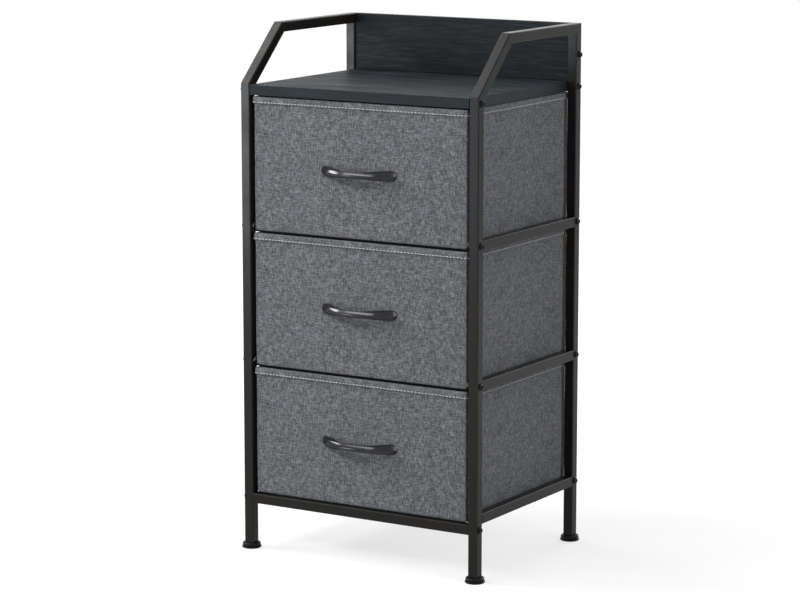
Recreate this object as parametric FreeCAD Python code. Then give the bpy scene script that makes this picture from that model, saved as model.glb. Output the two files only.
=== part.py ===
import FreeCAD, Part
import math
import os

# Fabric drawer nightstand: two welded tube side frames, a top panel and back board bolted between
# them, steel straps and runners that carry three fabric drawers, and four levelling feet.
# Millimetres. +X is to the right seen from the front, +Y to the back, +Z up.
# The origin lies on the floor under the middle of the part's box.

V = FreeCAD.Vector
X, Y, Z = V(1, 0, 0), V(0, 1, 0), V(0, 0, 1)

# Overall sizes
width = 400.0  # across the outer faces of the side frames
depth = 300.0  # from the front faces of the posts to the back
guard_height = 85.0  # from the top panel's upper face to the top of the guard bars
guard_slope_run = 88.0  # how far back the sloped bar leads
guard_slope_start = 2.0  # where the slope leaves the front post, above the top panel

# Square steel tube
tube = 15.0
tube_wall = 1.2
tube_corner = 1.5

# Levels and drawer heights
lower_ledge_z = 86.2  # upper face of the lowest runners
front_rail_drop = 1.5  # top of the front bottom rail below that ledge
lower_drawer_height = 190.0
middle_drawer_height = 197.5
upper_drawer_height = 197.5
drawer_seat_gap = 0.3  # under each drawer
drawer_top_gap = 1.0  # over each drawer

# Drawer cover and boards
drawer_front_recess = 4.5  # drawer face behind the post faces
drawer_back_gap = 1.1  # drawer back to the lip of the rear strap
drawer_side_gap = 3.4  # hem to post
hem_proud = 2.6
hem_height = 10.0
hem_fold = 24.0  # how far the hem reaches down inside
fabric = 1.2
cover_corner = 1.2
stiffener = 3.0  # board thickness in the drawer walls and base
board_gap = 0.1  # play round each drawer board

# Bow handle
handle_length = 127.0
handle_reach = 27.0
handle_drop = 3.0  # below the middle of the drawer's height
handle_hole_spacing = 96.0
handle_grip_length = 84.0  # clear length between its feet
handle_bar_height = 9.2
handle_bar_depth = 7.0
handle_foot_height = 15.0
handle_screw_d = 4.0
handle_screw_grip = 8.0  # thread in the handle
handle_screw_head_d = 8.0
handle_screw_head_h = 2.4
# Its sections from the middle to the tip, as shares of half its length, of its reach,
# and of the way from the bar's height to the foot's
handle_sections = (
    (0, 1, 0), (0.2, 0.98, 0.06), (0.4, 0.91, 0.24), (0.6, 0.76, 0.53),
    (0.75, 0.57, 0.78), (0.88, 0.35, 0.96), (0.96, 0.17, 0.85), (1, 0.05, 0.35),
)

# Boards
panel_thickness = 15.0
back_board_thickness = 12.0
board_end_gap = 0.8  # between a board's end and the side frame
board_edge_round = 0.8
back_board_bolt_rise = 39.0  # above the top panel

# Bent sheet steel
sheet = 1.5
bend_inner_r = 0.75
runner_width = 22.0
runner_height = 13.5
strap_width = 12.0
strap_tab_height = 14.0
strap_lip_height = 10.0
strap_relief = 6.0  # from a tab to the set-back or the lip
strap_setback = 1.5  # front straps behind the drawer faces
strap_bolt_rise = 6.2  # above the ledge
rail_end_plate = 2.0

# Bolts, nuts and inserts
bolt_d = 6.0
bolt_hole_play = 0.6
bolt_head_d = 10.5
bolt_head_h = 3.3
bolt_head_rim = 0.7
bolt_crown_out = 0.78  # point on the head's round side, as shares of its radius
bolt_crown_up = 0.72  # and of its height
bolt_socket_margin = 1.0  # flat top round the socket
bolt_socket_flats = 4.0
bolt_socket_depth = 2.0
bolt_end = 0.3  # past the nut
thread_play = 0.1
nut_flats = 10.0
nut_height = 3.2
insert_d = 9.0
insert_length = 13.0

# Levelling feet
foot_height = 8.5  # floor to the end of the posts
foot_top_gap = 0.3
foot_base_d = 29.0
foot_neck_d = 24.5
foot_top_d = 27.0
foot_tread = 2.6  # height of the flared base
foot_groove = 1.0
foot_stem_d = 8.0
foot_stem_length = 24.0
leg_plug_length = 26.0

# Places that follow from the sizes
half = width / 2
inner = half - tube
handle_out = handle_reach - drawer_front_recess  # handles past the post faces
foot_out = (foot_base_d - tube) / 2  # rear feet past the back
front = (handle_out - depth - foot_out) / 2
back = front + depth
front_post_y = front + tube / 2
rear_post_y = back - tube / 2
bolt_hole_d = bolt_d + bolt_hole_play
thread_hole_d = bolt_d + thread_play

LEVELS = ("lower", "middle", "upper")
heights = dict(zip(LEVELS, (lower_drawer_height, middle_drawer_height, upper_drawer_height)))
ledge = {}
drawer_low = {}
drawer_high = {}
ledge_z = lower_ledge_z
for level in LEVELS:
    ledge[level] = ledge_z
    drawer_low[level] = ledge_z + drawer_seat_gap
    drawer_high[level] = drawer_low[level] + heights[level]
    ledge_z = drawer_high[level] + drawer_top_gap + sheet

panel_low = drawer_high["upper"] + drawer_top_gap
panel_high = panel_low + panel_thickness
guard_top = panel_high + guard_height
slope_low = panel_high + guard_slope_start
panel_bolt_z = (panel_low + panel_high) / 2
back_board_bolt_z = panel_high + back_board_bolt_rise
back_board_y = back - back_board_thickness / 2
front_rail_z = lower_ledge_z - front_rail_drop - tube / 2
strap_bolt_z = {level: ledge[level] + strap_bolt_rise for level in LEVELS}
handle_z = {level: (drawer_low[level] + drawer_high[level]) / 2 - handle_drop for level in LEVELS}
handle_screw_x = handle_hole_spacing / 2
body_x = inner - drawer_side_gap - hem_proud
face_y = front + drawer_front_recess
rear_y = back - sheet - drawer_back_gap

# Bolts through the posts: place in Y and Z, and how far the thread reaches past the post
strap_grip = sheet + nut_height + bolt_end
rail_grip = rail_end_plate + nut_height + bolt_end
rail_bolts = [(front_post_y, front_rail_z, rail_grip)]
front_strap_bolts = [(front_post_y, strap_bolt_z[level], strap_grip) for level in LEVELS[1:]]
rear_strap_bolts = [(rear_post_y, strap_bolt_z[level], strap_grip) for level in LEVELS]
panel_front_bolts = [(front_post_y, panel_bolt_z, insert_length)]
panel_rear_bolts = [(rear_post_y, panel_bolt_z, insert_length)]
back_board_bolts = [(back_board_y, back_board_bolt_z, insert_length)]
front_bolts = rail_bolts + front_strap_bolts + panel_front_bolts
rear_bolts = rear_strap_bolts + panel_rear_bolts + back_board_bolts


# Basic shapes
def block(low, high):
    """Box between two corners."""
    return Part.makeBox(*[b - a for a, b in zip(low, high)], V(*low))


def rod(diameter, start, axis, length):
    """Cylinder from a point along an axis."""
    return Part.makeCylinder(diameter / 2, length, V(*start), axis)


def edges_along(shape, axis, wanted):
    """Straight edges along an axis whose middle passes a test."""
    found = []
    for edge in shape.Edges:
        run = edge.Vertexes[-1].Point.sub(edge.Vertexes[0].Point)
        if run.Length > 0 and abs(run.dot(axis)) > 0.999 * run.Length and wanted(edge.CenterOfMass):
            found.append(edge)
    return found


def rounded(shape, axis, radius, wanted=lambda middle: True):
    """Fillet the straight edges along an axis."""
    return shape.makeFillet(radius, edges_along(shape, axis, wanted))


def mirrored(shape):
    """Copy on the other side of the middle plane."""
    return shape.mirror(V(0, 0, 0), X)


def tube_along(start, end):
    """Hollow square tube from one point to another, one pair of walls facing along X."""
    run = end.sub(start)
    outside = block((-tube / 2, -tube / 2, 0), (tube / 2, tube / 2, run.Length))
    bore_half = tube / 2 - tube_wall
    bore = block((-bore_half, -bore_half, 0), (bore_half, bore_half, run.Length))
    shape = rounded(outside, Z, tube_corner).cut(bore)
    shape.Placement = FreeCAD.Placement(start, FreeCAD.Rotation(Z, run))
    return shape


def bent(shape, corner_x, low):
    """Round the bend of a sheet angle along Y, inside and out, whose outer corner is at corner_x and low."""
    inward = sheet if corner_x < 0 else -sheet
    near = sheet / 4
    inside = lambda m: abs(m.x - corner_x - inward) + abs(m.z - low - sheet) < near
    outside = lambda m: abs(m.x - corner_x) + abs(m.z - low) < near
    shape = rounded(shape, Y, bend_inner_r, inside)
    return rounded(shape, Y, bend_inner_r + sheet, outside)


# Side frames
def inner_corner(before, corner, after):
    """Point inside a corner of the side outline, one tube in from both of its edges."""
    arrive = corner.sub(before).normalize()
    leave = after.sub(corner).normalize()
    turn = math.acos(arrive.dot(leave))
    inward = leave.sub(arrive).normalize()
    return corner.add(inward * (tube / math.cos(turn / 2)))


def side_bars():
    """The four mitred bars of the left side frame: front post, slope, top bar and rear post."""
    x = -half + tube / 2
    outline = [
        V(x, front, foot_height),
        V(x, front, slope_low),
        V(x, front + guard_slope_run, guard_top),
        V(x, back, guard_top),
        V(x, back, foot_height),
    ]
    inside = [V(x, front + tube, foot_height)]
    inside += [inner_corner(*outline[i - 1:i + 2]) for i in (1, 2, 3)]
    inside += [V(x, back - tube, foot_height)]
    bars = []
    for i in range(4):
        start, end = outline[i], outline[i + 1]
        along = end.sub(start).normalize()
        to_axis = X.cross(along) * (-tube / 2)
        long_tube = tube_along(start + to_axis - along * tube, end + to_axis + along * tube)
        corners = [start, end, inside[i + 1], inside[i], start]
        reach = X * tube
        mitre = Part.Face(Part.makePolygon([c - reach / 2 for c in corners])).extrude(reach)
        bars.append(long_tube.common(mitre))
    return bars


def bolt_holes(places):
    """Cylinders that bore the left posts for their bolts."""
    return [rod(bolt_hole_d, (-half, y, z), X, half) for y, z, grip in places]


def side_rail(level):
    """Tube between the posts at a drawer level."""
    z = ledge[level] - sheet + tube / 2
    x = -half + tube / 2
    return tube_along(V(x, front + tube, z), V(x, back - tube, z))


def runner(level):
    """Bent angle on the inner face of a side rail, whose foot carries the drawer's edge."""
    low = ledge[level] - sheet
    y0, y1 = front + tube, back - tube
    shape = block((-inner, y0, low), (-inner + runner_width, y1, low + runner_height))
    shape = shape.cut(block((-inner + sheet, y0, ledge[level]), (half, y1, low + 2 * runner_height)))
    return bent(shape, -inner, low)


# Cross members
def front_rail():
    """Front bottom tube, with a bored plate welded in each end."""
    low, high = front_rail_z - tube / 2, front_rail_z + tube / 2
    shape = rounded(block((-inner, front, low), (inner, front + tube, high)), X, tube_corner)
    shape = shape.cut(block(
        (-inner + rail_end_plate, front + tube_wall, low + tube_wall),
        (inner - rail_end_plate, front + tube - tube_wall, high - tube_wall)))
    return shape.cut(rod(bolt_hole_d, (-half, front_post_y, front_rail_z), X, width))


def strap(level, post_y):
    """Flat bent strap between two posts, bolted by a turned-up tab at each end."""
    low = ledge[level] - sheet
    y0, y1 = post_y - strap_width / 2, post_y + strap_width / 2
    shape = block((-inner, y0, low), (inner, y1, low + strap_tab_height))
    shape = shape.cut(block((-inner + sheet, y0, ledge[level]), (inner - sheet, y1, guard_top)))
    shape = bent(bent(shape, -inner, low), inner, low)
    return shape.cut(rod(bolt_hole_d, (-half, post_y, strap_bolt_z[level]), X, width))


def front_strap(level):
    """Strap whose flat lies back behind the drawer faces."""
    end = inner - strap_relief
    low = ledge[level] - sheet
    strip = block((-end, front, low), (end, face_y + strap_setback, guard_top))
    return strap(level, front_post_y).cut(strip)


def rear_strap(level):
    """Strap with a lip along the backs of the posts, which stops the drawer."""
    end = inner - strap_relief
    low = ledge[level] - sheet
    lip = block((-end, rear_post_y + strap_width / 2, low), (end, back, low + strap_lip_height))
    return strap(level, rear_post_y).fuse(lip).removeSplitter()


def board_between(y0, y1, z0, z1, bolts):
    """Board between the side frames, with a hole in each end for every insert."""
    end = inner - board_end_gap
    shape = rounded(block((-end, y0, z0), (end, y1, z1)), X, board_edge_round)
    for y, z, grip in bolts:
        hole = rod(insert_d + thread_play, (-end, y, z), X, insert_length)
        shape = shape.cut(hole).cut(mirrored(hole))
    return shape


# Fasteners
def bolt(y, z, grip):
    """Button head bolt through a left post, with a hexagon socket in its head."""
    shank_r, edge_r = bolt_d / 2, bolt_head_d / 2
    top_r = bolt_socket_flats / 2 + bolt_socket_margin
    low = -tube - grip
    axis_top, rim = V(0, 0, bolt_head_h), V(edge_r, 0, bolt_head_rim)
    crown = V(bolt_crown_out * edge_r, 0, bolt_crown_up * bolt_head_h)
    crown_end = V(top_r, 0, bolt_head_h)
    shank = [axis_top, V(0, 0, low), V(shank_r, 0, low), V(shank_r, 0, 0), V(edge_r, 0, 0), rim]
    profile = Part.Wire([
        Part.makePolygon(shank),
        Part.Wire(Part.Arc(rim, crown, crown_end).toShape()),
        Part.makePolygon([crown_end, axis_top]),
    ])
    shape = Part.Face(profile).revolve(V(0, 0, 0), Z, 360)
    shape = shape.cut(hexagon(bolt_socket_flats, bolt_head_h - bolt_socket_depth, bolt_head_h))
    shape.Placement = FreeCAD.Placement(V(-half, y, z), FreeCAD.Rotation(Z, -X))
    return shape


def hexagon(flats, z0, z1):
    """Upright hexagonal prism with flats towards +X and -X."""
    radius = flats / math.sqrt(3)
    angles = [math.radians(30 + 60 * i) for i in range(7)]
    corners = [V(radius * math.cos(a), radius * math.sin(a), z0) for a in angles]
    return Part.Face(Part.makePolygon(corners)).extrude(Z * (z1 - z0))


def nut(x, y, z):
    """Thin hexagon nut whose left face is at x."""
    shape = hexagon(nut_flats, 0, nut_height).cut(rod(thread_hole_d, (0, 0, 0), Z, nut_height))
    shape.Placement = FreeCAD.Placement(V(x, y, z), FreeCAD.Rotation(Z, X))
    return shape


def insert(y, z):
    """Threaded sleeve in the left end of a board."""
    x = -inner + board_end_gap
    sleeve = rod(insert_d, (x, y, z), X, insert_length)
    return sleeve.cut(rod(thread_hole_d, (x, y, z), X, insert_length))


def both_sides(shapes):
    """Group of the left pieces and their copies on the right."""
    return Part.makeCompound(shapes + [mirrored(shape) for shape in shapes])


# Feet
def leg_plug(x, y):
    """Plug in the open end of a post, with the thread for a foot."""
    side = tube / 2 - tube_wall - board_gap
    shape = block((x - side, y - side, foot_height), (x + side, y + side, foot_height + leg_plug_length))
    return shape.cut(rod(foot_stem_d + thread_play, (x, y, foot_height), Z, leg_plug_length))


def foot(x, y):
    """Levelling foot: flared base, groove, top disc and threaded stem."""
    base_r, neck_r, top_r, stem_r = foot_base_d / 2, foot_neck_d / 2, foot_top_d / 2, foot_stem_d / 2
    top = foot_height - foot_top_gap
    taper_end = foot_tread + (base_r - neck_r) / 2
    groove_end = taper_end + foot_groove
    stem_end = top + foot_stem_length
    round_r = (top - groove_end) / 3
    bevel = foot_stem_d / 8
    line = [
        (0, 0), (base_r - bevel, 0), (base_r, bevel), (base_r, foot_tread),
        (neck_r, taper_end), (neck_r, groove_end),
        (top_r, groove_end), (top_r, top - round_r), (top_r - round_r, top),
        (stem_r, top), (stem_r, stem_end - bevel), (stem_r - bevel, stem_end), (0, stem_end), (0, 0),
    ]
    profile = Part.Face(Part.makePolygon([V(r, 0, h) for r, h in line]))
    shape = profile.revolve(V(0, 0, 0), Z, 360)
    shape.translate(V(x, y, 0))
    return shape


# Drawers
def ring_box(inset, z0, z1):
    """Upright box inside a drawer's outer faces by an inset, or outside them by a negative one."""
    return block((-body_x + inset, face_y + inset, z0), (body_x - inset, rear_y - inset, z1))


def screw_holes(diameter, level, y0, y1):
    """Two cylinders along Y at a drawer's handle screws."""
    return [rod(diameter, (x, y0, handle_z[level]), Y, y1 - y0) for x in (-handle_screw_x, handle_screw_x)]


def cover(level):
    """Sewn fabric cover: four walls and a base, with a hem that folds over the boards."""
    low, high = drawer_low[level], drawer_high[level]
    opening_inset = fabric + stiffener + 2 * board_gap + fabric
    slot_inset = opening_inset - fabric
    walls = rounded(ring_box(0, low, high), Z, cover_corner)
    hem = rounded(ring_box(-hem_proud, high - hem_height, high), Z, cover_corner + hem_proud)
    shape = walls.fuse(hem).cut(ring_box(fabric, low + fabric, high - fabric))
    fold = ring_box(slot_inset, high - hem_fold, high).cut(ring_box(opening_inset, low, high))
    shape = shape.cut(ring_box(slot_inset, low + fabric, high)).fuse(fold).removeSplitter()
    holes = screw_holes(handle_screw_d + thread_play, level, face_y - hem_proud, face_y + 2 * fabric)
    return shape.cut(holes[0]).cut(holes[1])


def wall_boards(level):
    """Stiffener boards of a drawer: front, rear, left and right, from the base to under the hem."""
    z0, z1 = drawer_low[level] + fabric + board_gap, drawer_high[level] - fabric - board_gap
    start = fabric + board_gap
    end = start + stiffener
    side_x = body_x - start
    front_y, back_y = face_y + start, rear_y - start
    front_board = block((-side_x, front_y, z0), (side_x, face_y + end, z1))
    for hole in screw_holes(handle_screw_d + thread_play, level, face_y, face_y + 2 * end):
        front_board = front_board.cut(hole)
    rear_board = block((-side_x, rear_y - end, z0), (side_x, back_y, z1))
    left_y0, left_y1 = face_y + end + board_gap, rear_y - end - board_gap
    left_board = block((-side_x, left_y0, z0), (-body_x + end, left_y1, z1))
    return {"front_board": front_board, "rear_board": rear_board,
            "left_board": left_board, "right_board": mirrored(left_board)}


def base_board(level):
    """Loose board on the drawer's fabric base."""
    z0 = drawer_low[level] + fabric
    return ring_box(fabric + stiffener + 3 * board_gap, z0, z0 + stiffener)


def handle(level):
    """Bow handle: an oval bar that arches between two broad feet on the drawer's face."""
    z = handle_z[level]
    sunk = handle_bar_depth / 3
    bow = []
    for along, out, spread in handle_sections:
        x = along * handle_length / 2
        arch = max(0, 1 - (2 * x / handle_grip_length) ** 3)
        inside = -sunk + (handle_reach - handle_bar_depth + sunk) * arch
        tall = handle_bar_height + (handle_foot_height - handle_bar_height) * spread
        bow.append((x, out * handle_reach, inside, tall / 2))
    bow = [(-x, outer, inside, tall) for x, outer, inside, tall in reversed(bow[1:])] + bow
    wires = []
    for x, outer, inside, tall in bow:
        centre = V(x, face_y - (outer + inside) / 2, z)
        deep = (outer - inside) / 2
        major, minor = (Z * tall, Y * deep) if tall > deep else (Y * deep, Z * tall)
        wires.append(Part.Wire(Part.Ellipse(centre + major, centre + minor, centre).toShape()))
    shape = Part.makeLoft(wires, True)
    shape = shape.cut(block((-half, face_y, z - tube), (half, face_y + tube, z + tube)))
    for hole in screw_holes(handle_screw_d + thread_play, level, face_y - handle_screw_grip, face_y):
        shape = shape.cut(hole)
    return shape


def handle_screws(level):
    """Two pan head screws from inside the drawer into the handle's feet."""
    seat_y = face_y + fabric + 2 * board_gap + stiffener
    shanks = screw_holes(handle_screw_d, level, face_y - handle_screw_grip + board_gap, seat_y)
    heads = screw_holes(handle_screw_head_d, level, seat_y, seat_y + handle_screw_head_h)
    screws = []
    for shank, head in zip(shanks, heads):
        rim = [e for e in head.Edges if e.CenterOfMass.y > seat_y + handle_screw_head_h - board_gap]
        screws.append(shank.fuse(head.makeFillet(handle_screw_head_h / 2, rim)))
    return Part.makeCompound(screws)


# Assembly: every node by name
nodes = {}
front_post, slope_bar, top_bar, rear_post = side_bars()
left_side = {
    "front_post": front_post.cut(bolt_holes(front_bolts)),
    "slope_bar": slope_bar,
    "top_bar": top_bar,
    "rear_post": rear_post.cut(bolt_holes(rear_bolts)),
}
for level in LEVELS:
    left_side[level + "_rail"] = side_rail(level)
    left_side[level + "_runner"] = runner(level)
for name, shape in left_side.items():
    nodes["left_" + name] = shape
    nodes["right_" + name] = mirrored(shape)

nodes["front_bottom_rail"] = front_rail()
for level in LEVELS[1:]:
    nodes[level + "_front_strap"] = front_strap(level)
for level in LEVELS:
    nodes[level + "_rear_strap"] = rear_strap(level)

panel_bolts = panel_front_bolts + panel_rear_bolts
nodes["top_panel"] = board_between(front, back, panel_low, panel_high, panel_bolts)
back_board_front = back - back_board_thickness
nodes["back_board"] = board_between(back_board_front, back, panel_high, guard_top, back_board_bolts)

nodes["frame_bolts"] = both_sides([bolt(*place) for place in front_bolts + rear_bolts])
strap_nuts = [nut(-inner + sheet, y, z) for y, z, grip in front_strap_bolts + rear_strap_bolts]
rail_nuts = [nut(-inner + rail_end_plate, y, z) for y, z, grip in rail_bolts]
nodes["frame_nuts"] = both_sides(strap_nuts + rail_nuts)
nodes["panel_inserts"] = both_sides([insert(y, z) for y, z, grip in panel_bolts + back_board_bolts])

post_x = -half + tube / 2
nodes["leg_plugs"] = both_sides([leg_plug(post_x, y) for y in (front_post_y, rear_post_y)])
for end, y in (("front", front_post_y), ("rear", rear_post_y)):
    nodes["left_" + end + "_foot"] = foot(post_x, y)
    nodes["right_" + end + "_foot"] = foot(-post_x, y)

for level in LEVELS:
    prefix = level + "_drawer_"
    nodes[prefix + "cover"] = cover(level)
    for name, shape in wall_boards(level).items():
        nodes[prefix + name] = shape
    nodes[prefix + "base_board"] = base_board(level)
    nodes[prefix + "handle"] = handle(level)
    nodes[prefix + "handle_screws"] = handle_screws(level)

os.makedirs("parts", exist_ok=True)
for name, shape in nodes.items():
    shape.exportStep("parts/" + name + ".step")
print(len(nodes), "nodes written,", sum(len(shape.Solids) for shape in nodes.values()), "solids")
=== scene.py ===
"""Fabric drawer nightstand: fabric drawers, handles, materials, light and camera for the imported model."""
import math
import random

import bmesh
import bpy
from mathutils import Matrix, Vector, noise


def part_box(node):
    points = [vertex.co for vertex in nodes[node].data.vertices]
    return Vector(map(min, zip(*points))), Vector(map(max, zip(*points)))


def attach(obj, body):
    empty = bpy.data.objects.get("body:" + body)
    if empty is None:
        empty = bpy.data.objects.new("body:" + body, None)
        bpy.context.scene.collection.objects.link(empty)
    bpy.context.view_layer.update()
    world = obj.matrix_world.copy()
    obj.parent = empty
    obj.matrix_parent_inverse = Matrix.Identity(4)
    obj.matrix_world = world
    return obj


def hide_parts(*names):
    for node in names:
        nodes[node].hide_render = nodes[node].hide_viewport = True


MM = 0.001
LEVELS = ("lower", "middle", "upper")

# Sizes of the sewn drawers, in millimetres
HEM_PROUD = 2.6
HEM_HEIGHT = 10.0
HEM_FOLD = 24.0
FABRIC = 1.2
STIFFENER = 3.0
BOARD_PLAY = 0.2
COVER_CORNER = 1.2
LEAST_CORNER = 0.6

# How much fuller at the rear, and lower at the top, the cloth is than its solid, in millimetres
REAR_FULLNESS = 0.4
TOP_SETTLE = 1.0

# Radii of the cloth's rolled edges, and how far the cloth eases in at its top, hem and base
INNER_ROLL = 1.4
OUTER_ROLL = 1.3
TOP_EASE = 0.1
HEM_EASE = 0.15
EDGE_ROLL = 0.65
EDGE_EASE = 0.1
BASE_ROLL = 3.0
BASE_EASE = 0.05

# Lines of the cloth's section, in millimetres: the fold inside, from the board's side and the fold's
# edge; the hem's face, from that face and down from the top; its seam, from that face and up from
# the hem's edge; and the step to the wall, from the wall and the hem's edge
FOLD_LINE = ((0.3, 0.0), (0.0, 0.5), (0.0, 4.0), (-0.1, 12.0))
HEM_FACE = ((0.05, 3.5), (0.1, 5.5))
HEM_SEAM = ((-0.05, 3.1), (-0.45, 2.2), (-0.5, 1.7), (-0.2, 1.0))
HEM_STEP = ((0.35, 0.1), (0.0, -0.5))

# Counts of points round a cover and of rows on its walls
FRONT_STEPS, SIDE_STEPS, CORNER_STEPS = 40, 32, 6
WALL_ROWS = 24

# Slack of the cloth: its mean, its slow and fine parts, the width and height of their waves, the step
# between the drawers' patterns, and the offset that parts the wall from the fold inside
SLACK_MEAN, SLACK_SLOW, SLACK_FINE = 0.35, 0.35, 0.12
SLOW_WIDTH, SLOW_HEIGHT = 70, 55
FINE_WIDTH, FINE_HEIGHT = 22, 20
PATTERN_STEP = 40.0
WALL_FROM = -3.2

# Stitches, in millimetres: size and pitch, place on the hem, wander and tilt, the thin ends and the
# flat side as shares of the thickness, how high they stand, the counts of points in each, and the
# seed of their chance
STITCH_LENGTH, STITCH_PITCH, STITCH_THICK = 4.0, 5.8, 1.2
STITCH_SUNK, STITCH_UP = 0.35, 1.9
STITCH_WANDER, STITCH_TILT = 0.15, 0.12
STITCH_END, STITCH_FLAT = 0.45, 0.75
STITCH_LOW, STITCH_RISE = 0.05, 0.30
STITCH_RINGS, STITCH_SIDES = 7, 8
STITCH_SEED = 11

# Sizes of the bow handle, in millimetres; its bar is a little taller than the solid's
HANDLE_LENGTH = 127.0
HANDLE_GRIP_LENGTH = 84.0
HANDLE_REACH = 27.0
HANDLE_BAR_DEPTH = 7.0
HANDLE_BAR_HEIGHT = 10.2
HANDLE_FOOT_HEIGHT = 15.0

# Where the handle's tips begin to round, as a share of half its length, how round they are, and the
# share of the height that is left at the end
HANDLE_TIP_START = 0.86
HANDLE_TIP_POWER = 2.6
HANDLE_TIP_LEAST = 0.12

# Outline of the handle in section before rounding: the share of the way from its outer to its inner
# face, the setback behind that in half heights, and the height in half heights; then the shares at
# which its corners are cut, one round after another, and the share that counts as its outer face
HANDLE_OUTLINE = (
    (0, 0, -0.2), (0, 0.56, 1), (0.8, 0, 1), (1, 0, 0.4), (1, 0, -0.4), (0.8, 0, -1), (0, 0.6, -1),
)
HANDLE_ROUNDING = (0.14, 0.25, 0.25)
HANDLE_FACE_SHARE = 0.05

# Sections of the handle from its middle to its tip, as shares of half its length, of its reach and of
# the way from the bar's height to the foot's, and the steps between them
HANDLE_SECTIONS = (
    (0, 1, 0), (0.2, 0.98, 0.06), (0.4, 0.91, 0.24), (0.6, 0.76, 0.53),
    (0.75, 0.57, 0.78), (0.88, 0.35, 0.96), (0.96, 0.17, 0.85), (1, 0.05, 0.35),
)
HANDLE_STEPS = 6

# Camera, in metres, radians and pixels
CAMERA_TARGET = Vector((0.0, 0.0, 0.3885))
CAMERA_AZIMUTH, CAMERA_ELEVATION = math.radians(31.356), math.radians(9.655)
CAMERA_DISTANCE = 4.373
FOCAL_PIXELS = 2961.7
FRAME_WIDTH, FRAME_HEIGHT = 800, 600
TARGET_PIXEL = (408.92, 288.72)

WHITE = (1.0, 1.0, 1.0, 1.0)

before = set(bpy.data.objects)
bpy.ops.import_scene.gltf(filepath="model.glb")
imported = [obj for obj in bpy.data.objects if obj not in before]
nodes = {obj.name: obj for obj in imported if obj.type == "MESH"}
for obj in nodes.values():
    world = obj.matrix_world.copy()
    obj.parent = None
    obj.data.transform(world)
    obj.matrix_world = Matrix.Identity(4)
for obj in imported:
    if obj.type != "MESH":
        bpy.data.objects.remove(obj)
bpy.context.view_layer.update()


# Node tree helpers
class Graph:
    """Adds shader nodes to a tree and links their sockets."""

    def __init__(self, tree):
        self.tree = tree

    def add(self, kind, inputs=None, **settings):
        """New node with its settings, and its inputs linked or set."""
        node = self.tree.nodes.new("ShaderNode" + kind)
        for name, value in settings.items():
            setattr(node, name, value)
        self.fill(node, inputs or {})
        return node

    def fill(self, node, inputs):
        """Link or set some inputs of a node."""
        for name, value in inputs.items():
            self.feed(node.inputs[name], value)

    def feed(self, socket, value):
        """Link a socket to another, or set its value."""
        if isinstance(value, bpy.types.NodeSocket):
            self.tree.links.new(value, socket)
        else:
            socket.default_value = value

    def math(self, operation, first, second=0.0):
        """Result of an operation on one or two numbers."""
        return self.add("Math", {0: first, 1: second}, operation=operation).outputs[0]

    def lerp(self, share, low, high):
        """Number between two others."""
        return self.add("Mix", {0: share, 2: low, 3: high}, data_type="FLOAT").outputs[0]

    def blend(self, share, low, high, mode="MIX"):
        """Colour between two others."""
        node = self.add("Mix", {0: share, 6: low, 7: high}, data_type="RGBA", blend_type=mode)
        return node.outputs[2]

    def remap(self, value, old, new):
        """Number carried from one range into another and held inside it."""
        inputs = {0: value, 1: old[0], 2: old[1], 3: new[0], 4: new[1]}
        return self.add("MapRange", inputs, clamp=True).outputs[0]

    def scaled(self, vector, factors):
        """Vector times a vector."""
        return self.add("VectorMath", {0: vector, 1: factors}, operation="MULTIPLY").outputs[0]

    def parts(self, vector):
        """The three numbers of a vector, by name."""
        return self.add("SeparateXYZ", {0: vector}).outputs

    def noise(self, vector, scale=1.0, detail=2.0, rough=0.5, distortion=0.0):
        """Smooth noise from about 0.2 to 0.8."""
        inputs = {"Vector": vector, "Scale": scale, "Detail": detail, "Roughness": rough,
                  "Distortion": distortion}
        return self.add("TexNoise", inputs).outputs["Fac"]

    def ramp(self, value, stops):
        """Colour read from a list of places and colours."""
        node = self.add("ValToRGB", {"Fac": value})
        band = node.color_ramp.elements
        for element, (place, colour) in zip(band, (stops[0], stops[-1])):
            element.position = place
            element.color = rgba(colour)
        for place, colour in stops[1:-1]:
            band.new(place).color = rgba(colour)
        return node.outputs["Color"]


def linear(value):
    """Linear light of one display channel from 0 to 255."""
    share = value / 255
    return share / 12.92 if share <= 0.04045 else ((share + 0.055) / 1.055) ** 2.4


def rgba(colour):
    """Linear colour with full opacity from display values."""
    return tuple(linear(channel) for channel in colour) + (1.0,)


def new_group(name, inputs, outputs):
    """Empty shader group with its graph, its input sockets and its output node."""
    tree = bpy.data.node_groups.new(name, "ShaderNodeTree")
    for in_out, sockets in (("INPUT", inputs), ("OUTPUT", outputs)):
        for socket, kind in sockets:
            tree.interface.new_socket(socket, in_out=in_out, socket_type="NodeSocket" + kind)
    source = tree.nodes.new("NodeGroupInput")
    target = tree.nodes.new("NodeGroupOutput")
    return tree, Graph(tree), source.outputs, target


def new_material(name):
    """Material with a plain principled shader, its graph and the shader."""
    material = bpy.data.materials.new(name)
    material.use_nodes = True
    shader = material.node_tree.nodes["Principled BSDF"]
    return material, Graph(material.node_tree), shader


def object_place(graph):
    """Place of a point in the object's own frame, in metres."""
    return graph.add("TexCoord").outputs["Object"]


def relief(graph, height, strength, distance):
    """Normal of a surface with a raised pattern, its full height in metres."""
    inputs = {"Strength": strength, "Distance": distance, "Height": height}
    return graph.add("Bump", inputs).outputs["Normal"]


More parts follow.
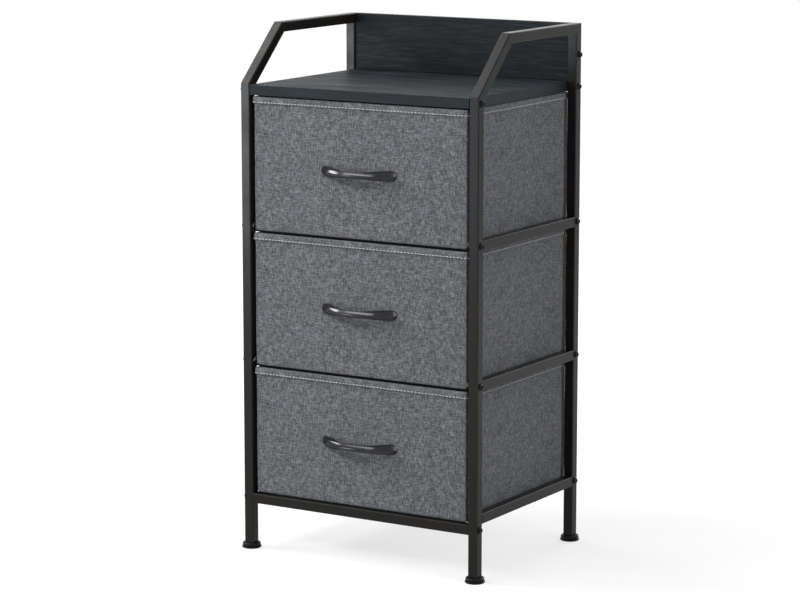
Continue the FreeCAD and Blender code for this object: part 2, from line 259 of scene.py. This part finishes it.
# Shared effects
def weave_group():
    """Plain weave of slubby yarns: tone, which yarn lies on top and relief, from a place in millimetres."""
    tree, g, source, target = new_group(
        "slub_weave",
        [("Place", "Vector"), ("Pitch", "Float"), ("Slub", "Float")],
        [("Tone", "Float"), ("Over", "Float"), ("Height", "Float")])
    yarn_step, weft_slub, weft_layer = 2.37, 1.5, 7.5
    place = g.parts(source["Place"])
    column = g.math("DIVIDE", place["X"], source["Pitch"])
    row = g.math("DIVIDE", place["Y"], source["Pitch"])
    warp = g.math("FLOOR", column)
    weft = g.math("FLOOR", row)
    over = g.math("FLOORED_MODULO", g.math("ADD", warp, weft), 2.0)
    across = g.math("SINE", g.math("MULTIPLY", g.math("FRACT", column), math.pi))
    along = g.math("SINE", g.math("MULTIPLY", g.math("FRACT", row), math.pi))
    warp_step = g.math("MULTIPLY", warp, yarn_step)
    weft_step = g.math("MULTIPLY", weft, yarn_step)
    warp_run = g.math("MULTIPLY", place["Y"], source["Slub"])
    weft_run = g.math("MULTIPLY", place["X"], g.math("MULTIPLY", source["Slub"], weft_slub))
    warp_place = g.add("CombineXYZ", {0: warp_step, 1: warp_run}).outputs[0]
    weft_place = g.add("CombineXYZ", {0: weft_run, 1: weft_step, 2: weft_layer}).outputs[0]
    warp_tone = g.noise(warp_place, detail=1.0)
    weft_tone = g.noise(weft_place, detail=1.0)
    g.fill(target, {
        "Tone": g.lerp(over, weft_tone, warp_tone),
        "Over": over,
        "Height": g.lerp(0.5, g.math("MULTIPLY", across, along), g.lerp(over, along, across)),
    })
    return tree


def grain_group():
    """Wood grain along X: tone and relief, from a place in metres, the streaks' spread, the pores' share
    and the strength of the grain on upright faces."""
    tree, g, source, target = new_group(
        "wood_grain",
        [("Place", "Vector"), ("Spread", "Vector"), ("Pores", "Float"), ("Edges", "Float")],
        [("Tone", "Float"), ("Height", "Float")])
    figure_scale, figure_lines = (1.6, 14.0, 14.0), 64.0
    pore_scale = (24.0, 560.0, 560.0)
    streak_share, pore_relief, end_grain = 0.75, 0.6, 0.12
    turned = (0.4, 0.9)
    figure = g.noise(g.scaled(source["Place"], figure_scale), detail=1.5, distortion=0.3)
    lines = g.math("SINE", g.math("MULTIPLY", figure, figure_lines))
    soft_lines = g.remap(lines, (-1.0, 1.0), (0.40, 0.60))
    streaks = g.noise(g.scaled(source["Place"], source["Spread"]), detail=3.0, rough=0.6, distortion=0.15)
    pores = g.noise(g.scaled(source["Place"], pore_scale), rough=0.6)
    tone = g.lerp(source["Pores"], g.lerp(streak_share, soft_lines, streaks), pores)
    normal = g.parts(g.add("NewGeometry").outputs["Normal"])
    edge = g.remap(g.math("ABSOLUTE", normal["Z"]), turned, (source["Edges"], 1.0))
    end = g.remap(g.math("ABSOLUTE", normal["X"]), turned, (1.0, end_grain))
    g.fill(target, {
        "Tone": g.lerp(g.math("MULTIPLY", edge, end), 0.5, tone),
        "Height": g.lerp(pore_relief, soft_lines, pores),
    })
    return tree


def coat_group():
    """Powder coat: slow tone changes, fine orange peel relief and the share of rounded edge at a point,
    broken into patches, where a highlight is painted.
    """
    tree, g, source, target = new_group(
        "powder_coat", [("Place", "Vector")], [("Tone", "Float"), ("Height", "Float"), ("Edge", "Float")])
    normal = g.parts(g.add("NewGeometry").outputs["Normal"])
    side = g.math("ABSOLUTE", normal["X"])
    other = g.math("SQRT", g.math("SUBTRACT", 1.0, g.math("MULTIPLY", side, side)))
    # Mask of rounded edges between the faces along X and the others, broken into patches by noise: where
    # the coat paints its highlight
    edge = g.remap(g.math("MULTIPLY", side, other), (0.12, 0.5), (0.0, 1.0))
    edge_patches = g.remap(g.noise(source["Place"], scale=60.0, detail=4.0, rough=0.6), (0.35, 0.7), (0.15, 1.0))
    g.fill(target, {
        "Tone": g.noise(source["Place"], scale=26.0, detail=3.0, rough=0.55),
        "Height": g.noise(source["Place"], scale=1500.0, detail=1.5),
        "Edge": g.math("MULTIPLY", edge, edge_patches),
    })
    return tree


WEAVE, GRAIN, COAT = weave_group(), grain_group(), coat_group()


def effect(graph, tree, inputs):
    """Outputs of a shared effect with its inputs linked or set."""
    node = graph.add("Group")
    node.node_tree = tree
    graph.fill(node, inputs)
    return node.outputs


# Materials
def linen_material():
    """Grey melange linen of the drawer covers, laid out by the mesh's own map in metres."""
    material, g, shader = new_material("linen_melange")
    flat = g.scaled(g.add("UVMap", uv_map="cloth").outputs["UV"], (1000.0, 1000.0, 0.0))
    weave = effect(g, WEAVE, {"Place": flat, "Pitch": 1.15, "Slub": 0.11})
    cool = g.ramp(weave["Tone"], [(0.28, (45, 50, 52)), (0.48, (88, 93, 96)), (0.70, (136, 143, 147))])
    warm = g.ramp(weave["Tone"], [(0.28, (50, 49, 52)), (0.48, (93, 92, 96)), (0.70, (144, 143, 148))])
    hue = g.remap(g.noise(flat, scale=0.055, rough=0.55), (0.35, 0.65), (0.0, 1.0))
    yarn = g.blend(g.lerp(0.6, weave["Over"], hue), cool, warm)
    cloud = g.remap(g.noise(flat, scale=0.035, detail=3.0, rough=0.6), (0.3, 0.7), (0.90, 1.08))
    shade = g.add("CombineColor", {0: cloud, 1: cloud, 2: cloud}).outputs[0]
    g.fill(shader, {
        "Base Color": g.blend(1.0, yarn, shade, "MULTIPLY"),
        "Normal": relief(g, weave["Height"], strength=0.55, distance=0.00022),
        "Roughness": 0.88,
        "Sheen Weight": 0.18,
        "Sheen Roughness": 0.5,
        "Specular IOR Level": 0.2,
    })
    return material


def thread_material():
    """Pale twisted sewing thread."""
    material, g, shader = new_material("sewing_thread")
    twist = g.noise(g.scaled(object_place(g), (1400.0, 1400.0, 2600.0)), detail=1.0)
    g.fill(shader, {
        "Base Color": g.ramp(twist, [(0.3, (172, 174, 178)), (0.7, (226, 228, 231))]),
        "Normal": relief(g, twist, strength=0.4, distance=0.0001),
        "Roughness": 0.7,
        "Sheen Weight": 0.2,
    })
    return material


def board_material(name, tones, grain_inputs):
    """Charcoal wood grain foil of a board, with its tones and the inputs of its grain."""
    material, g, shader = new_material(name)
    grain = effect(g, GRAIN, {"Place": object_place(g), **grain_inputs})
    g.fill(shader, {
        "Base Color": g.ramp(grain["Tone"], tones),
        "Normal": relief(g, grain["Height"], strength=0.35, distance=0.00025),
        "Roughness": g.remap(grain["Tone"], (0.35, 0.65), (0.58, 0.42)),
        "Specular IOR Level": 0.10,
    })
    return material


def coat_material(name, colour, rough, peel, specular):
    """Satin powder coat, a little paler and smoother on rounded edges, where its colour carries a painted
    highlight.
    """
    material, g, shader = new_material(name)
    spread, polish = 0.05, 0.1
    coat = effect(g, COAT, {"Place": object_place(g)})
    # The third colour is a painted highlight: the coat's colour made paler for rounded edges
    dark, pale, edge_highlight = ([factor * channel for channel in colour] for factor in (0.86, 1.10, 1.55))
    body = g.ramp(coat["Tone"], [(0.3, dark), (0.7, pale)])
    flat_rough = g.remap(coat["Tone"], (0.3, 0.7), (rough + spread, rough - spread))
    g.fill(shader, {
        "Base Color": g.blend(coat["Edge"], body, rgba(edge_highlight)),
        "Roughness": g.lerp(coat["Edge"], flat_rough, rough - polish),
        "Normal": relief(g, coat["Height"], strength=peel, distance=0.0001),
        "Specular IOR Level": specular,
    })
    return material


def gunmetal_material():
    """Dark polished metal of the handles."""
    material, g, shader = new_material("gunmetal")
    place = object_place(g)
    cloud = g.noise(place, scale=45.0, detail=3.0, rough=0.6)
    brushed = g.noise(g.scaled(place, (120.0, 2600.0, 2600.0)))
    g.fill(shader, {
        "Base Color": g.ramp(cloud, [(0.3, (49, 49, 51)), (0.7, (55, 55, 57))]),
        "Roughness": g.remap(brushed, (0.3, 0.7), (0.16, 0.21)),
        "Normal": relief(g, brushed, strength=0.05, distance=0.00005),
        "Metallic": 1.0,
    })
    return material


def plastic_material():
    """Black moulded plastic of the feet and plugs."""
    material, g, shader = new_material("moulded_plastic")
    place = object_place(g)
    texture = g.noise(place, scale=2200.0)
    cloud = g.noise(place, scale=90.0, detail=3.0)
    g.fill(shader, {
        "Base Color": g.ramp(cloud, [(0.3, (11, 11, 11)), (0.7, (18, 18, 17))]),
        "Roughness": g.remap(texture, (0.3, 0.7), (0.36, 0.5)),
        "Normal": relief(g, texture, strength=0.1, distance=0.0001),
        "Specular IOR Level": 0.15,
    })
    return material


def zinc_material():
    """Black zinc plate of nuts, inserts and screws."""
    material, g, shader = new_material("zinc_plate")
    cells = {"Vector": object_place(g), "Scale": 420.0}
    spangle = g.add("TexVoronoi", cells).outputs["Distance"]
    g.fill(shader, {
        "Base Color": g.ramp(spangle, [(0.0, (40, 40, 41)), (0.8, (58, 58, 57))]),
        "Roughness": g.remap(spangle, (0.0, 0.8), (0.28, 0.42)),
        "Metallic": 1.0,
    })
    return material


def lining_material():
    """Grey non-woven lining on the drawer boards, pressed with small dots."""
    material, g, shader = new_material("board_lining")
    place = object_place(g)
    cells = {"Vector": place, "Scale": 520.0, "Randomness": 0.15}
    dots = g.add("TexVoronoi", cells).outputs["Distance"]
    felt = g.noise(place, scale=900.0, detail=4.0, rough=0.65)
    tone = g.lerp(0.4, felt, g.remap(dots, (0.1, 0.6), (0.3, 0.65)))
    g.fill(shader, {
        "Base Color": g.ramp(tone, [(0.3, (52, 53, 56)), (0.7, (92, 94, 98))]),
        "Normal": relief(g, tone, strength=0.5, distance=0.0003),
        "Roughness": 0.9,
        "Sheen Weight": 0.15,
    })
    return material


def seen_directly(graph):
    """One for rays from the camera and for mirrored or refracted ones, zero for the rest."""
    path = graph.add("LightPath").outputs
    mirrored = graph.math("MAXIMUM", path["Is Glossy Ray"], path["Is Transmission Ray"])
    return graph.math("MAXIMUM", path["Is Camera Ray"], mirrored)


def floor_material():
    """Pale matt floor that is white to the eye and still takes the part's shadow."""
    material, g, shader = new_material("studio_floor")
    place = object_place(g)
    tone = g.noise(place, scale=3.0)
    away = g.add("VectorMath", {0: place}, operation="LENGTH").outputs["Value"]
    lift = g.remap(away, (0.45, 1.6), (0.70, 0.95))
    g.fill(shader, {
        "Base Color": g.ramp(tone, [(0.3, (166, 166, 166)), (0.7, (172, 172, 172))]),
        "Emission Color": WHITE,
        "Emission Strength": g.math("MULTIPLY", seen_directly(g), lift),
        "Roughness": 0.9,
        "Specular IOR Level": 0.0,
    })
    return material


# Meshes
def add_object(name, data):
    """Object in the scene."""
    item = bpy.data.objects.new(name, data)
    bpy.context.scene.collection.objects.link(item)
    return item


def make_piece(form, name, material, body):
    """Piece of a finished form that rides on a body."""
    bmesh.ops.recalc_face_normals(form, faces=form.faces)
    mesh = bpy.data.meshes.new(name)
    form.to_mesh(mesh)
    form.free()
    mesh.materials.append(material)
    piece = add_object(name, mesh)
    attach(piece, body)
    return piece


def skin(form, rows):
    """Smooth tube through closed rows of points, with flat ends."""
    sides = len(rows[0])
    for a, b in zip(rows, rows[1:]):
        for k in range(sides):
            after = (k + 1) % sides
            form.faces.new((a[k], a[after], b[after], b[k])).smooth = True
    form.faces.new(reversed(rows[0]))
    form.faces.new(rows[-1])


def distances(points):
    """Length of a line of points up to each of them."""
    run = [0.0]
    for before, after in zip(points, points[1:]):
        run.append(run[-1] + math.dist(before, after))
    return run


def arc(centre, radius, start, end, steps):
    """Points of an arc in the plane of offset and height, angles in degrees."""
    found = []
    for i in range(steps + 1):
        angle = math.radians(start + (end - start) * i / steps)
        found.append((centre[0] + radius * math.cos(angle), centre[1] + radius * math.sin(angle)))
    return found


def ring(half_x, y0, y1, radius):
    """Points and outward normals round a level rectangle with rounded corners, from its front left."""
    steps = (FRONT_STEPS, SIDE_STEPS, FRONT_STEPS, SIDE_STEPS)
    centres = [(-half_x + radius, y0 + radius), (half_x - radius, y0 + radius),
               (half_x - radius, y1 - radius), (-half_x + radius, y1 - radius)]
    points = []
    for side in range(4):
        start, end = Vector(centres[side]), Vector(centres[(side + 1) % 4])
        turn = math.radians(90 * side - 90)
        out = Vector((math.cos(turn), math.sin(turn)))
        for i in range(steps[side]):
            points.append((start.lerp(end, i / steps[side]) + out * radius, out))
        for i in range(CORNER_STEPS):
            angle = turn + math.pi / 2 * i / CORNER_STEPS
            out = Vector((math.cos(angle), math.sin(angle)))
            points.append((end + out * radius, out))
    return points


class Drawer:
    """Places of one drawer's cloth and handle, in millimetres, taken from its solids."""

    def __init__(self, level):
        self.level = level
        self.index = LEVELS.index(level)
        self.body = level + "_drawer"
        low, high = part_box(self.body + "_cover")
        self.low = low.z / MM
        self.high = high.z / MM - TOP_SETTLE
        self.half_x = high.x / MM - HEM_PROUD
        self.face_y = low.y / MM + HEM_PROUD
        self.rear_y = high.y / MM - HEM_PROUD + REAR_FULLNESS
        grip_low, grip_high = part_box(self.body + "_handle")
        self.handle_z = (grip_low.z + grip_high.z) / 2 / MM

    def ring(self, offset):
        """Ring outside the drawer's walls by an offset."""
        radius = max(COVER_CORNER + offset, LEAST_CORNER)
        return ring(self.half_x + offset, self.face_y - offset, self.rear_y + offset, radius)


def cover_profile(drawer):
    """Section of a cover, offset and height: from the fold inside, over the hem and down to the base."""
    top, low = drawer.high, drawer.low
    inside = -(2 * FABRIC + STIFFENER + BOARD_PLAY)
    out = HEM_PROUD - HEM_EASE
    fold = top - HEM_FOLD
    hem_low = top - HEM_HEIGHT
    edge = EDGE_ROLL + EDGE_EASE
    wall_high = hem_low + HEM_STEP[-1][1]
    wall_low = low + BASE_ROLL
    section = [(inside + FABRIC, fold)]
    section += [(inside + off, fold + up) for off, up in FOLD_LINE]
    section += arc((inside + INNER_ROLL, top - TOP_EASE - INNER_ROLL), INNER_ROLL, 180, 90, 4)
    section.append(((inside + out) / 2, top))
    section += arc((out - OUTER_ROLL, top - TOP_EASE - OUTER_ROLL), OUTER_ROLL, 90, 0, 4)
    section += [(out + off, top - down) for off, down in HEM_FACE]
    section += [(out + off, hem_low + up) for off, up in HEM_SEAM]
    section += arc((out - edge, hem_low + edge), EDGE_ROLL, 0, -90, 3)
    section += [(off, hem_low + up) for off, up in HEM_STEP]
    for i in range(1, WALL_ROWS):
        section.append((0.0, wall_high + (wall_low - wall_high) * i / WALL_ROWS))
    section += arc((-BASE_ROLL, wall_low + BASE_EASE), BASE_ROLL, 0, -90, 5)
    return section


def wall_bulge(drawer, place, height):
    """How far the cloth stands off its board at a point of a wall."""
    share = (height - drawer.low) / (drawer.high - drawer.low)
    belly = math.sin(math.pi * min(max(share, 0.0), 1.0))
    shift = PATTERN_STEP * drawer.index
    slow_place = (place.x / SLOW_WIDTH + shift, place.y / SLOW_WIDTH, height / SLOW_HEIGHT)
    fine_place = (place.x / FINE_WIDTH, place.y / FINE_WIDTH + shift, height / FINE_HEIGHT)
    slow = noise.noise(Vector(slow_place))
    fine = noise.noise(Vector(fine_place))
    return (SLACK_MEAN + SLACK_SLOW * slow + SLACK_FINE * fine) * belly


def build_cover(drawer, material):
    """Sewn cover of one drawer, as one sheet from the inner fold to the base."""
    section = cover_profile(drawer)
    form = bmesh.new()
    cloth = form.loops.layers.uv.new("cloth")
    base = [place for place, _ in drawer.ring(0.0)]
    run = distances(base + base[:1])
    lengths = distances(section)
    rows = []
    for offset, height in section:
        row = []
        for place, out in drawer.ring(offset):
            swell = wall_bulge(drawer, place, height) if offset > WALL_FROM else 0.0
            spot = place + out * swell
            row.append(form.verts.new((spot.x * MM, spot.y * MM, height * MM)))
        rows.append(row)
    count = len(base)
    for j in range(len(rows) - 1):
        for i in range(count):
            k = (i + 1) % count
            face = form.faces.new((rows[j][i], rows[j + 1][i], rows[j + 1][k], rows[j][k]))
            face.smooth = True
            steps = ((i, j), (i, j + 1), (i + 1, j + 1), (i + 1, j))
            for loop, (a, b) in zip(face.loops, steps):
                loop[cloth].uv = (run[a] * MM, -lengths[b] * MM)
    floor = form.faces.new(reversed(rows[-1]))
    for loop in floor.loops:
        loop[cloth].uv = loop.vert.co.xy
    piece = make_piece(form, drawer.body + "_cloth", material, drawer.body)
    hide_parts(drawer.body + "_cover")


def build_stitches(drawer, material):
    """Row of single stitches round the lower edge of a hem."""
    chance = random.Random(STITCH_SEED + drawer.index)
    form = bmesh.new()
    height = drawer.high - HEM_HEIGHT + STITCH_UP
    around = drawer.ring(HEM_PROUD - STITCH_SUNK)
    around.append(around[0])
    path = [place for place, _ in around]
    outs = [out for _, out in around]
    run = distances(path)
    count = round(run[-1] / STITCH_PITCH)

    def at(distance):
        """Point and outward normal at a distance along the path."""
        distance %= run[-1]
        k = next(i for i in range(len(run) - 1) if run[i + 1] >= distance)
        share = (distance - run[k]) / max(run[k + 1] - run[k], 1e-6)
        return path[k].lerp(path[k + 1], share), outs[k].lerp(outs[k + 1], share).normalized()

    for index in range(count):
        start = index * run[-1] / count + chance.uniform(-STITCH_WANDER, STITCH_WANDER)
        tilt = chance.uniform(-STITCH_TILT, STITCH_TILT)
        rows = []
        for i in range(STITCH_RINGS):
            share = i / (STITCH_RINGS - 1)
            place, out = at(start + share * STITCH_LENGTH)
            swell = math.sin(math.pi * share)
            radius = STITCH_THICK / 2 * (STITCH_END + (1 - STITCH_END) * swell ** 0.5)
            centre = place + out * (STITCH_LOW + STITCH_RISE * swell)
            middle = height + tilt * (2 * share - 1)
            row = []
            for k in range(STITCH_SIDES):
                angle = 2 * math.pi * k / STITCH_SIDES
                spot = centre + out * (radius * STITCH_FLAT * math.cos(angle))
                z = middle + radius * math.sin(angle)
                row.append(form.verts.new((spot.x * MM, spot.y * MM, z * MM)))
            rows.append(row)
        skin(form, rows)
    make_piece(form, drawer.body + "_stitching", material, drawer.body)


def handle_sections():
    """Sections of a bow handle from its left tip to its right: place, outer and inner reach, and height."""
    sunk = HANDLE_BAR_DEPTH / 3
    bow = []
    for along, out, spread in HANDLE_SECTIONS:
        x = along * HANDLE_LENGTH / 2
        arch = max(0, 1 - (2 * x / HANDLE_GRIP_LENGTH) ** 3)
        inside = -sunk + (HANDLE_REACH - HANDLE_BAR_DEPTH + sunk) * arch
        tall = HANDLE_BAR_HEIGHT + (HANDLE_FOOT_HEIGHT - HANDLE_BAR_HEIGHT) * spread
        bow.append((x, out * HANDLE_REACH, inside, tall))
    return [(-x, outer, inside, tall) for x, outer, inside, tall in reversed(bow[1:])] + bow


def smooth_through(points, steps):
    """Points of a smooth line through others, with a number of steps in each span."""
    found = []
    padded = [points[0]] + points + [points[-1]]
    for i in range(1, len(padded) - 2):
        a, b, c, d = (Vector(p) for p in padded[i - 1:i + 3])
        for k in range(steps):
            t = k / steps
            found.append(0.5 * (2 * b + (c - a) * t + (2 * a - 5 * b + 4 * c - d) * t ** 2
                                + (3 * b - a - 3 * c + d) * t ** 3))
    found.append(Vector(points[-1]))
    return found


def tip_round(along):
    """Share of a handle's full height that its rounded tip leaves at a share of half its length."""
    beyond = max(0.0, (along - HANDLE_TIP_START) / (1 - HANDLE_TIP_START))
    left = max(0.0, 1 - beyond ** HANDLE_TIP_POWER) ** (1 / HANDLE_TIP_POWER)
    return max(HANDLE_TIP_LEAST, left)


def bar_outline():
    """Outline of the handle's bar in section, with its corners cut round and its ridge moved back out."""
    points = [Vector(point) for point in HANDLE_OUTLINE]
    for share in HANDLE_ROUNDING:
        cut = []
        for before, after in zip(points, points[1:] + points[:1]):
            cut += [before.lerp(after, share), before.lerp(after, 1 - share)]
        points = cut
    lost = min(point.y for point in points if point.x < HANDLE_FACE_SHARE)
    return [(point.x, point.y - lost * (1 - point.x), point.z) for point in points]


def build_handle(drawer, material):
    """Bow handle of one drawer: a softly ridged bar that arches between two broad feet."""
    form = bmesh.new()
    outline = bar_outline()
    rows = []
    for x, outer, inside, tall in smooth_through(handle_sections(), HANDLE_STEPS):
        row = []
        along = min(2 * abs(x) / HANDLE_LENGTH, 1.0)
        half_height = tall / 2 * tip_round(along)
        for share, setback, rise in outline:
            off = outer + (inside - outer) * share - setback * half_height
            y = drawer.face_y - max(off, 0.0)
            z = drawer.handle_z + half_height * rise
            row.append(form.verts.new((x * MM, y * MM, z * MM)))
        rows.append(row)
    skin(form, rows)
    piece = make_piece(form, drawer.body + "_bow_handle", material, drawer.body)
    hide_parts(drawer.body + "_handle")


# Dressing of the solids
def paint(names, material):
    """Give solids a material."""
    for name in names:
        slots = nodes[name].data.materials
        slots.clear()
        slots.append(material)


def dress():
    """All pieces and materials of the part."""
    linen, thread, gunmetal = linen_material(), thread_material(), gunmetal_material()
    for level in LEVELS:
        drawer = Drawer(level)
        build_cover(drawer, linen)
        build_stitches(drawer, thread)
        build_handle(drawer, gunmetal)
    top_tones = [(0.38, (16, 20, 23)), (0.5, (30, 36, 40)), (0.62, (48, 56, 61))]
    back_tones = [(0.38, (13, 17, 20)), (0.5, (22, 27, 31)), (0.62, (36, 43, 48))]
    top_grain = {"Spread": (8.0, 70.0, 190.0), "Pores": 0.25, "Edges": 0.3}
    back_grain = {"Spread": (36.0, 300.0, 300.0), "Pores": 0.55, "Edges": 0.8}
    boards = ["top_panel", "back_board"]
    plastics = ["leg_plugs"] + [n for n in nodes if n.endswith("_foot")]
    zincs = ["frame_nuts", "panel_inserts"] + [n for n in nodes if n.endswith("handle_screws")]
    linings = [n for n in nodes if "_drawer_" in n and n.endswith("_board")]
    covered = [n for n in nodes if n.endswith("_cover") or n.endswith("_handle")]
    straps = [n for n in nodes if n.endswith("_strap")]
    bolts = ["frame_bolts"]
    others = set(boards + plastics + zincs + linings + covered + straps + bolts)
    steel = [n for n in nodes if n not in others]
    paint(["top_panel"], board_material("charcoal_top", top_tones, top_grain))
    paint(["back_board"], board_material("charcoal_back", back_tones, back_grain))
    paint(plastics, plastic_material())
    paint(zincs, zinc_material())
    paint(linings, lining_material())
    # The straps are painted darker and duller than the frame, so that where they show between the drawers
    # they read as black shade
    paint(straps, coat_material("strap_coat_painted_shade", (10, 10, 10), rough=0.4, peel=0.12, specular=0.03))
    paint(bolts, coat_material("black_bolt", (9, 9, 9), rough=0.22, peel=0.05, specular=0.12))
    paint(steel, coat_material("frame_coat", (33, 31, 29), rough=0.22, peel=0.12, specular=0.11))


# Stage
def look_from(place, target):
    """Matrix of a camera or light at a place that looks at a target."""
    turn = (target - place).to_track_quat("-Z", "Y")
    return Matrix.LocRotScale(place, turn, None)


def build_camera():
    """Camera at the photograph's angle, aimed so that the part sits where it does in the frame."""
    azimuth, elevation = CAMERA_AZIMUTH, CAMERA_ELEVATION
    back = Vector((math.sin(azimuth) * math.cos(elevation), -math.cos(azimuth) * math.cos(elevation),
                   math.sin(elevation)))
    place = CAMERA_TARGET + back * CAMERA_DISTANCE
    right = Vector((math.cos(azimuth), math.sin(azimuth), 0.0))
    up = back.cross(right)
    scale = CAMERA_DISTANCE / FOCAL_PIXELS
    aim = CAMERA_TARGET + right * ((FRAME_WIDTH / 2 - TARGET_PIXEL[0]) * scale)
    aim += up * ((TARGET_PIXEL[1] - FRAME_HEIGHT / 2) * scale)
    data = bpy.data.cameras.new("photo_camera")
    data.sensor_fit = "HORIZONTAL"
    data.sensor_width = 36.0
    data.lens = FOCAL_PIXELS * data.sensor_width / FRAME_WIDTH
    data.clip_end = 100.0
    camera = add_object("photo_camera", data)
    camera.matrix_world = look_from(place, aim)
    bpy.context.scene.camera = camera


def area_light(name, place, target, size, power, colour=(1.0, 1.0, 1.0)):
    """Soft rectangular light."""
    data = bpy.data.lights.new(name, "AREA")
    data.shape = "RECTANGLE"
    data.size, data.size_y = size
    data.energy = power
    data.color = colour
    add_object(name, data).matrix_world = look_from(Vector(place), Vector(target))


def build_lights():
    """Key at the upper front left, three more lights on the left, a fill at the right and one behind."""
    middle = (0.0, 0.0, 0.4)
    front_left = (-0.2, -0.1, 0.5)
    cool = (0.93, 0.96, 1.0)
    area_light("fill", (3.1, -0.7, 1.4), middle, size=(1.6, 2.2), power=45.0)
    area_light("high", (-1.2, 0.1, 2.5), middle, size=(1.4, 0.7), power=20.0)
    area_light("rear", (0.3, 2.8, 1.3), middle, size=(1.6, 1.4), power=30.0)
    area_light("slim", (-2.3, -1.0, 1.6), middle, size=(1.1, 0.5), power=40.0)
    area_light("key", (-0.85, -2.42, 2.2), middle, size=(2.5, 0.5), power=36.0)
    area_light("low", (-1.7, -2.5, 0.5), front_left, size=(0.7, 0.9), power=26.0, colour=cool)


def build_world():
    """White backdrop for the camera and in reflections, dimmer surround for all other rays."""
    world = bpy.data.worlds.new("studio")
    bpy.context.scene.world = world
    world.use_nodes = True
    world.node_tree.nodes.clear()
    g = Graph(world.node_tree)
    seen = g.add("Background", {"Color": WHITE, "Strength": 1.0}).outputs[0]
    felt = g.add("Background", {"Color": WHITE, "Strength": 0.14}).outputs[0]
    both = g.add("MixShader", {0: seen_directly(g), 1: felt, 2: seen}).outputs[0]
    g.add("OutputWorld", {"Surface": both})


def build_floor():
    """Wide pale floor."""
    mesh = bpy.data.meshes.new("studio_floor")
    reach = 30.0
    places = [(-reach, -reach, 0), (reach, -reach, 0), (reach, reach, 0), (-reach, reach, 0)]
    mesh.from_pydata(places, [], [(0, 1, 2, 3)])
    mesh.materials.append(floor_material())
    floor = add_object("studio_floor", mesh)


dress()
build_floor()
build_world()
build_lights()
build_camera()
bpy.context.scene.view_settings.view_transform = "Standard"
